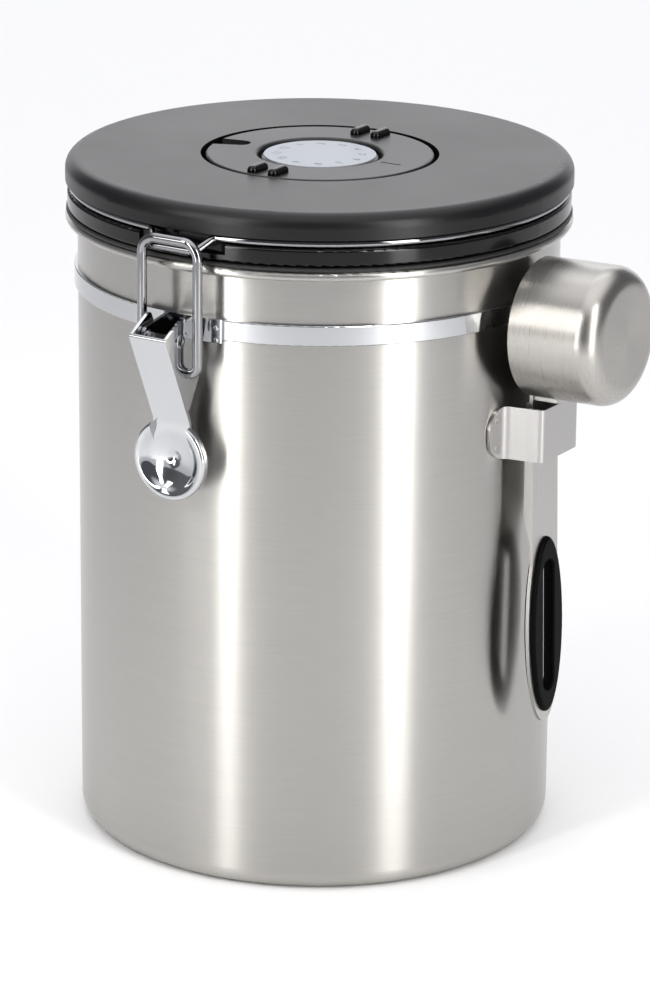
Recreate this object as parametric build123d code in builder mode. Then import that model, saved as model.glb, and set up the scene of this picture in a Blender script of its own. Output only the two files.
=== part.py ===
"""Coffee canister with a wire-bail latch, a one-way valve in the lid and a hanging scoop.

Millimetres, +Z up, the origin on the can's axis in the middle of its base.
The latch faces -Y, the hinge +Y and the scoop hangs on the +X side.
"""

from math import atan2, cos, degrees, radians, sin, sqrt
import os

from build123d import *

os.makedirs("parts", exist_ok=True)

# Shared fits
running_fit = 0.06
seat_gap = 0.1
press_gap = 0.02
shell_gap = 0.3
overrun = 1.0

# Can
can_radius = 60.0
can_height = 158.4
can_wall = 0.8
rim_reach = 3.0
roll_radius = 1.1
roll_wall = 0.6
rim_bend_radius = 1.4
base_corner_radius = 4.5
rim_radius = can_radius + rim_reach

# Neck strap and the plates that sit on it
strap_drop = 13.4
strap_height = 5.0
strap_sheet = 0.9
strap_split = 3.0
strap_edge_round = 0.25
plate_sheet = 0.9
plate_margin = 0.4
strap_bottom = can_height - strap_drop - strap_height
strap_inner = can_radius + press_gap
strap_outer = strap_inner + strap_sheet
plate_inner = strap_outer + press_gap
plate_outer = plate_inner + plate_sheet
plate_bottom = strap_bottom - plate_margin
plate_height = strap_height + 2 * plate_margin

# Wires
ring_wire_radius = 0.9
link_wire_radius = 1.2

# Lid shells
gasket_sheet = 1.08
gasket_inset = 0.2
gasket_round = 0.4
gasket_lip_width = 1.6
gasket_lip_drop = 1.4
base_ring_height = 4.5
base_ring_step = 0.5
base_ring_round = 0.8
base_wall = 2.0
lid_rise = 8.3
cover_edge_round = 3.4
cover_wall = 2.4
cover_roof = 2.2
plug_clearance = 4.5
plug_depth = 6.6
plug_corner_round = 1.0
groove_inset = 1.6
groove_wire_gap = 0.2
cover_radius = rim_radius
base_ring_radius = cover_radius - base_ring_step
base_ring_bottom = can_height + seat_gap + gasket_sheet + press_gap
base_ring_top = base_ring_bottom + base_ring_height
cover_top = base_ring_top + lid_rise
plug_radius = can_radius - plug_clearance
plug_bottom = base_ring_bottom - plug_depth
groove_radius = cover_radius - groove_inset
groove_height = base_ring_top + groove_wire_gap + ring_wire_radius
cover_bottom = groove_height + ring_wire_radius + groove_wire_gap

# Valve cap in its well
cap_radius = 28.3
cap_gap = 1.25
cap_plate = 2.1
cap_edge_round = 0.6
cap_skirt_inset = 0.8
cap_skirt_wall = 1.5
cap_skirt_gap = 0.4
well_depth = 6.2
well_wall = 1.8
well_floor = 1.6
lug_reach = 1.2
lug_height = 1.2
lug_rise = 0.6
lug_gap = 0.3
lug_count = 3
lug_angle = 24.0
well_radius = cap_radius + cap_gap
well_floor_top = cover_top - well_depth
cap_skirt_radius = cap_radius - cap_skirt_inset
cap_skirt_bottom = well_floor_top + cap_skirt_gap
lug_bottom = cap_skirt_bottom + lug_rise

# Dial in the cap
dial_hole_radius = 15.4
dial_hole_round = 1.1
dial_gap = 0.9
dial_collar_wall = 1.6
dial_web = 1.2
dial_sink = 2.3
dial_lift = 0.2
dial_plate = 1.6
dial_rim = 0.6
dial_recess_depth = 0.5
dial_face_sheet = 0.7
dial_edge_chamfer = 0.5
hub_radius = 3.2
hub_foot_radius = 3.9
hub_foot_height = 0.7
dial_radius = dial_hole_radius - dial_gap

# Ribs and notch on the cap
rib_length = 6.9
rib_width = 2.8
rib_height = 1.6
rib_round = 1.3
rib_top_round = 1.2
rib_inset = 4.5
rib_spacing = 5.9
notch_reach = 22.0
notch_round = 2.5
notch_mouth_reach = 28.2
notch_mouth_round = 3.1
notch_turn = 6.0
notch_mouth_turn = 8.5
notch_depth = 1.5
pointer_reach = 17.6
pointer_length = 5.7
pointer_width = 0.6
pointer_depth = 0.35

# One-way valve
seat_tube_radius = 11.8
seat_tube_wall = 1.4
seat_tube_depth = 9.2
seat_flange_reach = 2.2
seat_flange = 1.0
seat_floor_drop = 6.2
seat_floor = 1.2
vent_radius = 1.2
vent_circle_radius = 5.5
vent_count = 6
umbrella_radius = 8.6
umbrella_sheet = 0.7
umbrella_crown = 0.35
stem_radius = 1.2
bulb_radius = 1.9
bulb_height = 1.0
bulb_drop = 0.8
valve_lift = 0.7
retainer_sheet = 1.4
retainer_sink = 1.2
retainer_post_radius = 1.6
retainer_slot_length = 5.0
retainer_slot_width = 2.0
retainer_slot_circle_radius = 6.6
filter_sheet = 0.6
filter_lip = 0.8
filter_lip_height = 0.35
plug_vent_radius = 1.5
plug_vent_circle_radius = 6.0

# Hinge at the back
hinge_reach = 4.0
hinge_rise = 10.0
pin_radius = 1.2
pin_head_radius = 2.0
pin_head = 0.8
eye_x = 9.0
hinge_ear_x = 13.5
hinge_ear_sheet = 1.0
hinge_ear_round = 2.6
hinge_plate_margin = 2.0
ring_bend_radius = 1.8
eye_arc = 265
hinge_y = rim_radius + hinge_reach
hinge_z = strap_bottom + hinge_rise

# Hook at the front of the ring
hook_leave_x = 11.0
hook_tangent_run = 2.2
hook_half_width = 6.0
hook_reach = 3.4
hook_drop = 3.0
hook_bend_radius = 1.6
hook_pocket_half_width = 12.2
hook_pocket_drop = 2.6
hook_y = groove_radius + hook_reach
hook_z = groove_height - hook_drop

# Latch: the link hangs on the hook and the lever turns in the bracket below it
bar_reach = 1.7
bar_rise = 2.4
pivot_reach = 3.5
pivot_rise = 1.3
link_drop = 8.7
link_half_width = 7.9
link_top_bend = 4.0
link_foot_bend = 2.4
link_foot_end = 3.5
lever_sheet = 0.8
lever_half_width = 5.2
face_top_reach = 6.2
face_top_rise = 1.4
face_foot_inset = 3.15
face_foot_drop = 19.3
flange_peak_inset = 1.9
flange_peak_rise = 5.7
flange_back_inset = 6.4
flange_back_drop = 2.5
flange_heel_inset = 8.1
flange_heel_drop = 10.9
flange_corner_round = 1.0
ear_gap = 0.2
ear_sheet = 0.9
ear_round = 2.8
latch_plate_half_width = 11.0
eyelet_radius = 1.25
eyelet_wall = 0.4
eyelet_head_radius = 1.65
eyelet_head = 0.35
eyelet_head_gap = 0.05
link_y = hook_y + bar_reach
link_bar_z = hook_z + bar_rise
pivot_y = link_y + pivot_reach
pivot_z = strap_bottom + pivot_rise
link_hole_z = pivot_z - link_drop
face_top_y = pivot_y + face_top_reach
face_top_z = pivot_z + face_top_rise
face_foot_y = pivot_y - face_foot_inset
face_foot_z = pivot_z - face_foot_drop
flange_peak_y = pivot_y - flange_peak_inset
flange_peak_z = pivot_z + flange_peak_rise
flange_back_y = pivot_y - flange_back_inset
flange_back_z = pivot_z - flange_back_drop
flange_heel_y = pivot_y - flange_heel_inset
flange_heel_z = pivot_z - flange_heel_drop

# Thumb pad
pad_radius = 10.1
pad_inset = 2.6
pad_drop = 31.0
pad_lip_round = 0.8
pad_lip_depth = 2.0
pad_dish_depth = 1.5
pad_dish_radius = 5.9
pad_dimple_radius = 2.6
pad_dimple_depth = 0.6
tongue_lap = 1.8
pad_y = pivot_y - pad_inset
pad_z = pivot_z - pad_drop

# Scoop
scoop_lean = 1.5
scoop_reach = 1.0
bowl_drop = 20.4
bowl_radius = 17.1
bowl_depth = 23.4
bowl_round = 5.2
bowl_wall = 0.8
strip_sheet = 0.9
strip_half_width = 6.2
flange_top = 0.9
flange_foot = 1.7
flange_taper = 9.0
flange_end_gap = 45.6
flange_round = 1.5
saddle_gap = 0.03
saddle_sheet = 0.9
saddle_reach = 7.0
saddle_half_width = 5.4
handle_length = 101.6
blade_half_width = 8.2
blade_half_length = 25.4
window_half_width = 5.3
window_half_length = 19.5
grip_half_width = 7.5
grip_half_length = 22.8
grip_pad = 1.1
grip_round = 1.0
grip_slot_round = 0.5
grip_slot_length = 34.0
grip_slot_width = 5.1
mouth_x = cover_radius + scoop_reach
bowl_z = can_height - bowl_drop
saddle_inner = bowl_radius + saddle_gap
saddle_outer = saddle_inner + saddle_sheet

# Scoop bracket
holder_sheet = 0.8
holder_height = 13.3
holder_reach = 9.9
holder_front_half_width = 8.9
holder_foot_half_width = 9.9
holder_half_width = 15.6
holder_top_gap = 0.35
holder_foot_bend = 2.6
holder_front_bend = 1.3
holder_corner_round = 5.5
holder_skin_gap = 0.12
holder_top = bowl_z - saddle_outer - holder_top_gap
holder_bottom = holder_top - holder_height
holder_front = can_radius + holder_reach


def section(*points):
    """Close an outline of (radius, height) points, to be turned about the can's axis."""
    with BuildSketch(Plane.XZ) as outline:
        with BuildLine():
            Polyline(*points, close=True)
        make_face()
    return outline.sketch


# Can: the base, its rounded corner, the wall and the rim rolled outwards
can_inner = can_radius - can_wall
roll_x = rim_radius - roll_radius
roll_z = can_height - roll_radius
bend_x = can_inner + rim_bend_radius
bend_z = can_height - rim_bend_radius
sheet_bend = rim_bend_radius - can_wall
corner_x = can_radius - base_corner_radius
inner_corner = base_corner_radius - can_wall

with BuildPart() as canister_body:
    with BuildSketch(Plane.XZ):
        with BuildLine():
            Line((0, 0), (corner_x, 0))
            RadiusArc((corner_x, 0), (can_radius, base_corner_radius), -base_corner_radius)
            Line((can_radius, base_corner_radius), (can_radius, bend_z))
            RadiusArc((can_radius, bend_z), (bend_x, bend_z + sheet_bend), sheet_bend)
            Line((bend_x, bend_z + sheet_bend), (roll_x, bend_z + sheet_bend))
            Line((roll_x, bend_z + sheet_bend), (roll_x, can_height))
            Line((roll_x, can_height), (bend_x, can_height))
            RadiusArc((bend_x, can_height), (can_inner, bend_z), -rim_bend_radius)
            Line((can_inner, bend_z), (can_inner, base_corner_radius))
            RadiusArc((can_inner, base_corner_radius), (corner_x, can_wall), inner_corner)
            Line((corner_x, can_wall), (0, can_wall))
            Line((0, can_wall), (0, 0))
        make_face()
        with Locations((roll_x, roll_z)):
            Circle(roll_radius)
            Circle(roll_radius - roll_wall, mode=Mode.SUBTRACT)
        with Locations((roll_x - roll_radius / 2, roll_z - roll_radius / 2)):
            Rectangle(roll_radius, roll_wall / 2, rotation=45, mode=Mode.SUBTRACT)
    revolve(axis=Axis.Z)
canister_body.part.label = "canister_body"
export_step(canister_body.part, "parts/canister_body.step")

# Strap: a band round the neck with its split under the latch
with BuildPart() as neck_strap:
    with BuildSketch(Plane.XY.offset(strap_bottom)):
        Circle(strap_outer)
        Circle(strap_inner, mode=Mode.SUBTRACT)
        with Locations((0, -strap_outer)):
            Rectangle(strap_split, strap_outer, mode=Mode.SUBTRACT)
    extrude(amount=strap_height)
    fillet(neck_strap.faces().sort_by(SortBy.AREA)[-1].edges().filter_by(GeomType.CIRCLE), strap_edge_round)
neck_strap.part.label = "neck_strap"
export_step(neck_strap.part, "parts/neck_strap.step")

# Latch bracket: a curved plate on the strap with two ears for the lever
ear_outer = lever_half_width - lever_sheet - ear_gap
ear_inner = ear_outer - ear_sheet
plate_mid = (plate_inner + plate_outer) / 2


def curved_plate(half_width, side):
    """Draw a plate that lies on the strap, at the front for side -1 and at the back for side 1."""
    with BuildSketch(Plane.XY.offset(plate_bottom)) as outline:
        Circle(plate_outer)
        Circle(plate_inner, mode=Mode.SUBTRACT)
        with Locations((0, side * plate_mid)):
            Rectangle(2 * half_width, plate_mid, mode=Mode.INTERSECT)
    return outline.sketch


def ear(start_x, root_x, centre_y, centre_z, round_radius, hole_radius):
    """Draw an ear that stands on the plate and is rounded about its hole."""
    side = 1 if centre_y > 0 else -1
    root_y = side * sqrt(plate_mid**2 - root_x**2)
    with BuildSketch(Plane.YZ.offset(start_x)) as outline:
        with Locations((centre_y, centre_z)):
            Circle(round_radius)
        with Locations((root_y, plate_bottom + plate_height / 2)):
            Rectangle(plate_sheet / 4, plate_height)
        make_hull()
        with Locations((centre_y, centre_z)):
            Circle(hole_radius, mode=Mode.SUBTRACT)
    return outline.sketch


latch_ear_hole = eyelet_radius + press_gap
with BuildPart() as latch_bracket:
    extrude(curved_plate(latch_plate_half_width, -1), amount=plate_height)
    for start_x in (ear_inner, -ear_outer):
        outline = ear(start_x, ear_outer, -pivot_y, pivot_z, ear_round, latch_ear_hole)
        extrude(outline, amount=ear_sheet)
latch_bracket.part.label = "latch_bracket"
export_step(latch_bracket.part, "parts/latch_bracket.step")

# Hinge bracket: the same plate at the back with two ears for the pin
hinge_ear_end = hinge_ear_x + hinge_ear_sheet
pin_hole = pin_radius + press_gap
with BuildPart() as hinge_bracket:
    extrude(curved_plate(hinge_ear_end + hinge_plate_margin, 1), amount=plate_height)
    for start_x in (hinge_ear_x, -hinge_ear_end):
        outline = ear(start_x, hinge_ear_end, hinge_y, hinge_z, hinge_ear_round, pin_hole)
        extrude(outline, amount=hinge_ear_sheet)
hinge_bracket.part.label = "hinge_bracket"
export_step(hinge_bracket.part, "parts/hinge_bracket.step")

# Hinge pin with a head at each end
pin_half = hinge_ear_end + eyelet_head_gap
hinge_line = Plane(origin=(0, hinge_y, hinge_z), x_dir=(0, 1, 0), z_dir=(1, 0, 0))
with BuildPart() as hinge_pin:
    with BuildSketch(hinge_line):
        Circle(pin_radius)
    extrude(amount=pin_half, both=True)
    with BuildSketch(hinge_line.offset(pin_half), hinge_line.offset(-pin_half - pin_head)):
        Circle(pin_head_radius)
    extrude(amount=pin_head)
    fillet(hinge_pin.edges().group_by(Axis.X)[0], pin_head / 2)
    fillet(hinge_pin.edges().group_by(Axis.X)[-1], pin_head / 2)
hinge_pin.part.label = "hinge_pin"
export_step(hinge_pin.part, "parts/hinge_pin.step")

# Eyelets: two hollow rivets through the ears and the lever's flanges
eyelet_start = ear_inner - eyelet_head
eyelet_end = lever_half_width + eyelet_head_gap + eyelet_head
pivot_line = Plane(origin=(0, -pivot_y, pivot_z), x_dir=(0, 1, 0), z_dir=(1, 0, 0))
with BuildPart() as latch_rivets:
    with BuildSketch(pivot_line.offset(eyelet_start)):
        Circle(eyelet_radius)
    extrude(amount=eyelet_end - eyelet_start)
    with BuildSketch(pivot_line.offset(eyelet_start), pivot_line.offset(eyelet_end - eyelet_head)):
        Circle(eyelet_head_radius)
    extrude(amount=eyelet_head)
    with BuildSketch(pivot_line.offset(eyelet_start)):
        Circle(eyelet_radius - eyelet_wall)
    extrude(amount=eyelet_end - eyelet_start, mode=Mode.SUBTRACT)
    fillet(latch_rivets.edges().group_by(Axis.X)[-1], eyelet_head / 3)
    mirror(about=Plane.YZ)
latch_rivets.part.label = "latch_rivets"
export_step(latch_rivets.part, "parts/latch_rivets.step")

# Lever: a channel folded from sheet, its face leaning out at the top, with the thumb pad below
face_run_y = face_top_y - face_foot_y
face_run_z = face_top_z - face_foot_z
face_length = sqrt(face_run_y**2 + face_run_z**2)
sheet_shift_y = lever_sheet * face_run_z / face_length
sheet_shift_z = lever_sheet * face_run_y / face_length
lip_x = pad_radius - pad_lip_round
dish_y = pad_dish_depth - pad_y
dimple_y = dish_y + pad_dimple_depth
lap_share = tongue_lap / face_run_z
bend_share = (dish_y + face_foot_y) / face_run_y
inner_bend_share = (dish_y + lever_sheet + face_foot_y - sheet_shift_y) / face_run_y
tongue_end = pad_z + sqrt(pad_dish_radius**2 - lever_half_width**2)
pad_axis = Axis((0, 0, pad_z), (0, 1, 0))
link_line = Plane(origin=(0, -link_y, link_hole_z), x_dir=(0, 1, 0), z_dir=(1, 0, 0))
with BuildPart() as cheeks:     # the pad's rim is closed beside the tongue
    with BuildSketch(Plane.XY.offset(pad_z)):
        with BuildLine():
            Spline((pad_dish_radius, dish_y), (lip_x, -pad_y), tangents=((1, 0), (1, 0)))
            RadiusArc((lip_x, -pad_y), (pad_radius, pad_lip_round - pad_y), -pad_lip_round)
            Line((pad_radius, pad_lip_round - pad_y), (pad_radius, pad_lip_depth - pad_y))
            Line((pad_radius, pad_lip_depth - pad_y), (pad_dish_radius, pad_lip_depth - pad_y))
            Line((pad_dish_radius, pad_lip_depth - pad_y), (pad_dish_radius, dish_y))
        make_face()
    revolve(axis=pad_axis)
    with Locations((0, -pad_y, pad_z)):
        Box(
            2 * (lever_half_width + lever_sheet),
            2 * pad_lip_depth,
            pad_radius,
            align=(Align.CENTER, Align.CENTER, Align.MIN),
            mode=Mode.INTERSECT,
        )
with BuildPart() as latch_lever:
    with BuildSketch(Plane.YZ.offset(-lever_half_width)):
        with BuildLine():
            Polyline(
                (-face_top_y, face_top_z),
                (-flange_peak_y, flange_peak_z),
                (-flange_back_y, flange_back_z),
                (-flange_heel_y, flange_heel_z),
                (-face_foot_y, face_foot_z),
                close=True,
            )
        make_face()
        fillet(vertices(), flange_corner_round)
    extrude(amount=2 * lever_half_width)
    with BuildSketch(Plane.YZ.offset(lever_sheet - lever_half_width)):
        with BuildLine():
            Polyline(
                (-face_top_y + sheet_shift_y - face_run_y, face_top_z + sheet_shift_z + face_run_z),
                (-face_top_y + sheet_shift_y, face_top_z + sheet_shift_z),
                (-face_foot_y + sheet_shift_y, face_foot_z + sheet_shift_z),
                (-face_foot_y + sheet_shift_y + face_run_y, face_foot_z + sheet_shift_z - face_run_z),
                (-flange_heel_y + face_run_y, face_foot_z - face_run_z),
                (-flange_heel_y + face_run_y, face_top_z + 2 * face_run_z),
                close=True,
            )
        make_face()
    extrude(amount=2 * (lever_half_width - lever_sheet), mode=Mode.SUBTRACT)
    with BuildSketch(Plane.XY.offset(pad_z)):
        with BuildLine():
            Spline((0, dimple_y), (pad_dimple_radius, dish_y), tangents=((1, 0), (1, 0)))
            Line((pad_dimple_radius, dish_y), (pad_dish_radius, dish_y))
            Spline((pad_dish_radius, dish_y), (lip_x, -pad_y), tangents=((1, 0), (1, 0)))
            RadiusArc((lip_x, -pad_y), (pad_radius, pad_lip_round - pad_y), -pad_lip_round)
            Line((pad_radius, pad_lip_round - pad_y), (pad_radius, pad_lip_depth - pad_y))
            Line((pad_radius, pad_lip_depth - pad_y), (lip_x, pad_lip_depth - pad_y))
            Line((lip_x, pad_lip_depth - pad_y), (lip_x, lever_sheet - pad_y))
            Spline(
                (lip_x, lever_sheet - pad_y),
                (pad_dish_radius, dish_y + lever_sheet),
                tangents=((-1, 0), (-1, 0)),
            )
            Line((pad_dish_radius, dish_y + lever_sheet), (pad_dimple_radius, dish_y + lever_sheet))
            Spline(
                (pad_dimple_radius, dish_y + lever_sheet),
                (0, dimple_y + lever_sheet),
                tangents=((-1, 0), (-1, 0)),
            )
            Line((0, dimple_y + lever_sheet), (0, dimple_y))
        make_face()
    revolve(axis=pad_axis)
    add(cheeks.part)
    with Locations((0, dish_y, tongue_end)):
        Box(
            2 * lever_half_width,
            pad_dish_depth + overrun,
            pad_z + pad_radius - tongue_end + overrun,
            align=(Align.CENTER, Align.MAX, Align.MIN),
            mode=Mode.SUBTRACT,
        )
    with BuildSketch(Plane.YZ.offset(-lever_half_width)):
        with BuildLine():
            Polyline(
                (-face_foot_y - lap_share * face_run_y, face_foot_z + tongue_lap),
                (dish_y, face_foot_z - bend_share * face_run_z),
                (dish_y, tongue_end),
                (dish_y + lever_sheet, tongue_end),
                (dish_y + lever_sheet, face_foot_z + sheet_shift_z - inner_bend_share * face_run_z),
                (
                    -face_foot_y + sheet_shift_y - lap_share * face_run_y,
                    face_foot_z + sheet_shift_z + tongue_lap,
                ),
                close=True,
            )
        make_face()
    extrude(amount=2 * lever_half_width)
    with BuildSketch(pivot_line.offset(-lever_half_width)):
        Circle(eyelet_radius + running_fit)
    extrude(amount=2 * lever_half_width, mode=Mode.SUBTRACT)
    with BuildSketch(link_line.offset(-lever_half_width)):
        Circle(link_wire_radius + running_fit)
    extrude(amount=2 * lever_half_width, mode=Mode.SUBTRACT)
latch_lever.part.label = "latch_lever"
export_step(latch_lever.part, "parts/latch_lever.step")

# Link: a wire loop whose feet turn inwards through the lever's flanges
with BuildPart() as latch_link:
    with BuildLine():
        FilletPolyline(
            (-link_foot_end, -link_y, link_hole_z),
            (-link_half_width, -link_y, link_hole_z),
            (-link_half_width, -link_y, link_bar_z),
            (link_half_width, -link_y, link_bar_z),
            (link_half_width, -link_y, link_hole_z),
            (link_foot_end, -link_y, link_hole_z),
            radius=[link_foot_bend, link_top_bend, link_top_bend, link_foot_bend],
        )
    with BuildSketch(Plane(origin=(-link_foot_end, -link_y, link_hole_z), z_dir=(-1, 0, 0))):
        Circle(link_wire_radius)
    sweep()
latch_link.part.label = "latch_link"
export_step(latch_link.part, "parts/latch_link.step")

# Ring: a wire in the lid's groove, dipping out to the hook in front and down to the pin behind
leg_y = hinge_y - pin_radius - running_fit - ring_wire_radius
leave_y = sqrt(groove_radius**2 - hook_leave_x**2)
hook_tangent_x = leave_y / groove_radius
hook_tangent_y = hook_leave_x / groove_radius
hook_corner_x = hook_leave_x - hook_tangent_run * hook_tangent_x
hook_corner_y = -leave_y - hook_tangent_run * hook_tangent_y
back_leave_x = eye_x + ring_bend_radius + ring_wire_radius
back_leave_y = sqrt(groove_radius**2 - back_leave_x**2)
back_corner_y = back_leave_y + (back_leave_x - eye_x) * back_leave_x / back_leave_y
back_leave_angle = degrees(atan2(back_leave_y, back_leave_x))
hook_leave_angle = degrees(atan2(leave_y, hook_leave_x))
side_arc = back_leave_angle + hook_leave_angle
ring_plane = Plane.XY.offset(groove_height)
with BuildPart() as bail_ring:
    with BuildLine() as ring_line:
        for side in (1, -1):
            eye_centre = (side * eye_x, hinge_y, hinge_z)
            eye_plane = Plane(origin=eye_centre, x_dir=(0, 1, 0), z_dir=(1, 0, 0))
            with BuildLine(eye_plane):
                CenterArc((0, 0), hinge_y - leg_y, 180, eye_arc)
            FilletPolyline(
                (side * eye_x, leg_y, hinge_z),
                (side * eye_x, leg_y, groove_height),
                (side * eye_x, back_corner_y, groove_height),
                (side * back_leave_x, back_leave_y, groove_height),
                radius=ring_bend_radius,
            )
        with BuildLine(ring_plane):
            CenterArc((0, 0), groove_radius, -hook_leave_angle, side_arc)
            CenterArc((0, 0), groove_radius, 180 - back_leave_angle, side_arc)
        FilletPolyline(
            (hook_leave_x, -leave_y, groove_height),
            (hook_corner_x, hook_corner_y, groove_height),
            (hook_half_width, -hook_y, hook_z),
            (-hook_half_width, -hook_y, hook_z),
            (-hook_corner_x, hook_corner_y, groove_height),
            (-hook_leave_x, -leave_y, groove_height),
            radius=hook_bend_radius,
        )
    start_point = (hook_leave_x, -leave_y, groove_height)
    start_way = (-hook_tangent_x, -hook_tangent_y, 0)
    with BuildSketch(Plane(origin=start_point, z_dir=start_way)):
        Circle(ring_wire_radius)
    sweep()
bail_ring.part.label = "bail_ring"
export_step(bail_ring.part, "parts/bail_ring.step")

# Lid base: flange, upstand and the plug that enters the can
upstand_outer = cover_radius - cover_wall - shell_gap
upstand_inner = upstand_outer - base_wall
upstand_top = cover_top - cover_roof - shell_gap
plug_floor_top = plug_bottom + base_wall
ledge_top = base_ring_bottom + base_wall
with BuildPart() as lid_base:
    revolve(
        section(
            (0, plug_bottom),
            (plug_radius, plug_bottom),
            (plug_radius, base_ring_bottom),
            (base_ring_radius, base_ring_bottom),
            (base_ring_radius, base_ring_top),
            (upstand_outer, base_ring_top),
            (upstand_outer, upstand_top),
            (upstand_inner, upstand_top),
            (upstand_inner, ledge_top),
            (plug_radius - base_wall, ledge_top),
            (plug_radius - base_wall, plug_floor_top),
            (0, plug_floor_top),
        ),
        axis=Axis.Z,
    )
    fillet(lid_base.edges().filter_by(GeomType.CIRCLE).group_by(Axis.Z)[0], plug_corner_round)
    circles = lid_base.edges().filter_by(GeomType.CIRCLE)
    fillet(circles.group_by(SortBy.RADIUS)[-1], base_ring_round)
    with Locations((0, 0, plug_bottom)):
        with PolarLocations(plug_vent_circle_radius, vent_count):
            Cylinder(
                plug_vent_radius,
                base_wall,
                align=(Align.CENTER, Align.CENTER, Align.MIN),
                mode=Mode.SUBTRACT,
            )
    with Locations((0, -base_ring_radius, base_ring_top)):
        Box(
            2 * hook_pocket_half_width,
            2 * (base_ring_radius - upstand_outer),
            2 * hook_pocket_drop,
            mode=Mode.SUBTRACT,
        )
lid_base.part.label = "lid_base"
export_step(lid_base.part, "parts/lid_base.step")

# Gasket: a flat seal on the rim with a lip round the plug
gasket_bottom = can_height + seat_gap
gasket_top = base_ring_bottom - press_gap
gasket_lip_inner = plug_radius + press_gap
gasket_radius = rim_radius - gasket_inset
with BuildPart() as lid_gasket:
    revolve(
        section(
            (gasket_lip_inner, gasket_bottom - gasket_lip_drop),
            (gasket_lip_inner + gasket_lip_width, gasket_bottom - gasket_lip_drop),
            (gasket_lip_inner + gasket_lip_width, gasket_bottom),
            (gasket_radius, gasket_bottom),
            (gasket_radius, gasket_top),
            (gasket_lip_inner, gasket_top),
        ),
        axis=Axis.Z,
    )
    fillet(lid_gasket.edges().filter_by(GeomType.CIRCLE).group_by(SortBy.RADIUS)[-1], gasket_round)
lid_gasket.part.label = "lid_gasket"
export_step(lid_gasket.part, "parts/lid_gasket.step")

# Cover: the rounded top shell with the well and its bayonet tabs
well_outer = well_radius + well_wall
well_bottom = well_floor_top - well_floor
roof_bottom = cover_top - cover_roof
seat_hole = seat_tube_radius + press_gap
cover_inner = cover_radius - cover_wall
tab_bottom = lug_bottom + lug_height + lug_gap
tab_inner = cap_skirt_radius + lug_gap
round_x = cover_radius - cover_edge_round
round_z = cover_top - cover_edge_round
tab_outer = well_radius + well_wall / 2
tab_top = tab_bottom + lug_height
tab_outline = section(
    (tab_inner, tab_bottom), (tab_outer, tab_bottom), (tab_outer, tab_top), (tab_inner, tab_top)
)
tab = revolve(tab_outline, axis=Axis.Z, revolution_arc=lug_angle)
with BuildPart() as lid_cover:
    with BuildSketch(Plane.XZ):
        with BuildLine():
            Polyline(
                (round_x, cover_top),
                (well_radius, cover_top),
                (well_radius, well_floor_top),
                (seat_hole, well_floor_top),
                (seat_hole, well_bottom),
                (well_outer, well_bottom),
                (well_outer, roof_bottom),
                (cover_inner, roof_bottom),
                (cover_inner, cover_bottom),
                (cover_radius, cover_bottom),
                (cover_radius, round_z),
            )
            RadiusArc((cover_radius, round_z), (round_x, cover_top), -cover_edge_round)
        make_face()
    revolve(axis=Axis.Z)
    with PolarLocations(0, lug_count):
        add(tab)
lid_cover.part.label = "lid_cover"
export_step(lid_cover.part, "parts/lid_cover.step")

# Valve cap: a flush disc with a bayonet skirt, a recess for the dial and a finger notch and the pointer
cap_bottom = cover_top - cap_plate
dial_web_top = cover_top - dial_sink
web_bottom = dial_web_top - dial_web
collar_outer = dial_hole_radius + dial_collar_wall
hub_hole = hub_radius + running_fit
lug_radius = cap_skirt_radius + lug_reach
lug_root = cap_skirt_radius - cap_skirt_wall / 2
lug_top = lug_bottom + lug_height
lug_outline = section(
    (lug_root, lug_bottom), (lug_radius, lug_bottom), (lug_radius, lug_top), (lug_root, lug_top)
)
lug = revolve(lug_outline, axis=Axis.Z, revolution_arc=lug_angle)
with BuildPart() as valve_cap:
    revolve(
        section(
            (cap_radius, cover_top),
            (dial_hole_radius, cover_top),
            (dial_hole_radius, dial_web_top),
            (hub_hole, dial_web_top),
            (hub_hole, web_bottom),
            (collar_outer, web_bottom),
            (collar_outer, cap_bottom),
            (cap_skirt_radius - cap_skirt_wall, cap_bottom),
            (cap_skirt_radius - cap_skirt_wall, cap_skirt_bottom),
            (cap_skirt_radius, cap_skirt_bottom),
            (cap_skirt_radius, cap_bottom),
            (cap_radius, cap_bottom),
        ),
        axis=Axis.Z,
    )
    top_edges = valve_cap.edges().group_by(Axis.Z)[-1].sort_by(SortBy.RADIUS)
    fillet(top_edges[-1], cap_edge_round)
    fillet(top_edges[0], dial_hole_round)
    with PolarLocations(0, lug_count):
        add(lug)
    with BuildSketch(Plane.XY.offset(cover_top - notch_depth)):
        with PolarLocations(notch_reach, 1, 180 + notch_turn):
            Circle(notch_round)
        with PolarLocations(notch_mouth_reach, 1, 180 + notch_mouth_turn):
            Circle(notch_mouth_round)
        make_hull()
    extrude(amount=notch_depth + overrun, mode=Mode.SUBTRACT)
    with Locations((pointer_reach + pointer_length / 2, 0, cover_top)):
        Box(pointer_length, pointer_width, 2 * pointer_depth, mode=Mode.SUBTRACT)
valve_cap.part.label = "valve_cap"
export_step(valve_cap.part, "parts/valve_cap.step")

# Ribs: four raised bars, two at each side of the cap
with BuildPart() as grip_ribs:
    with Locations((0, 0, cover_top)):
        with GridLocations(rib_spacing, 2 * (cap_radius - rib_inset), 2, 2):
            Box(rib_width, rib_length, rib_height, align=(Align.CENTER, Align.CENTER, Align.MIN))
    fillet(grip_ribs.edges().filter_by(Axis.Z), rib_round)
    fillet(grip_ribs.faces().group_by(Axis.Z)[-1].edges(), rib_top_round)
grip_ribs.part.label = "grip_ribs"
export_step(grip_ribs.part, "parts/grip_ribs.step")

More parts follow.
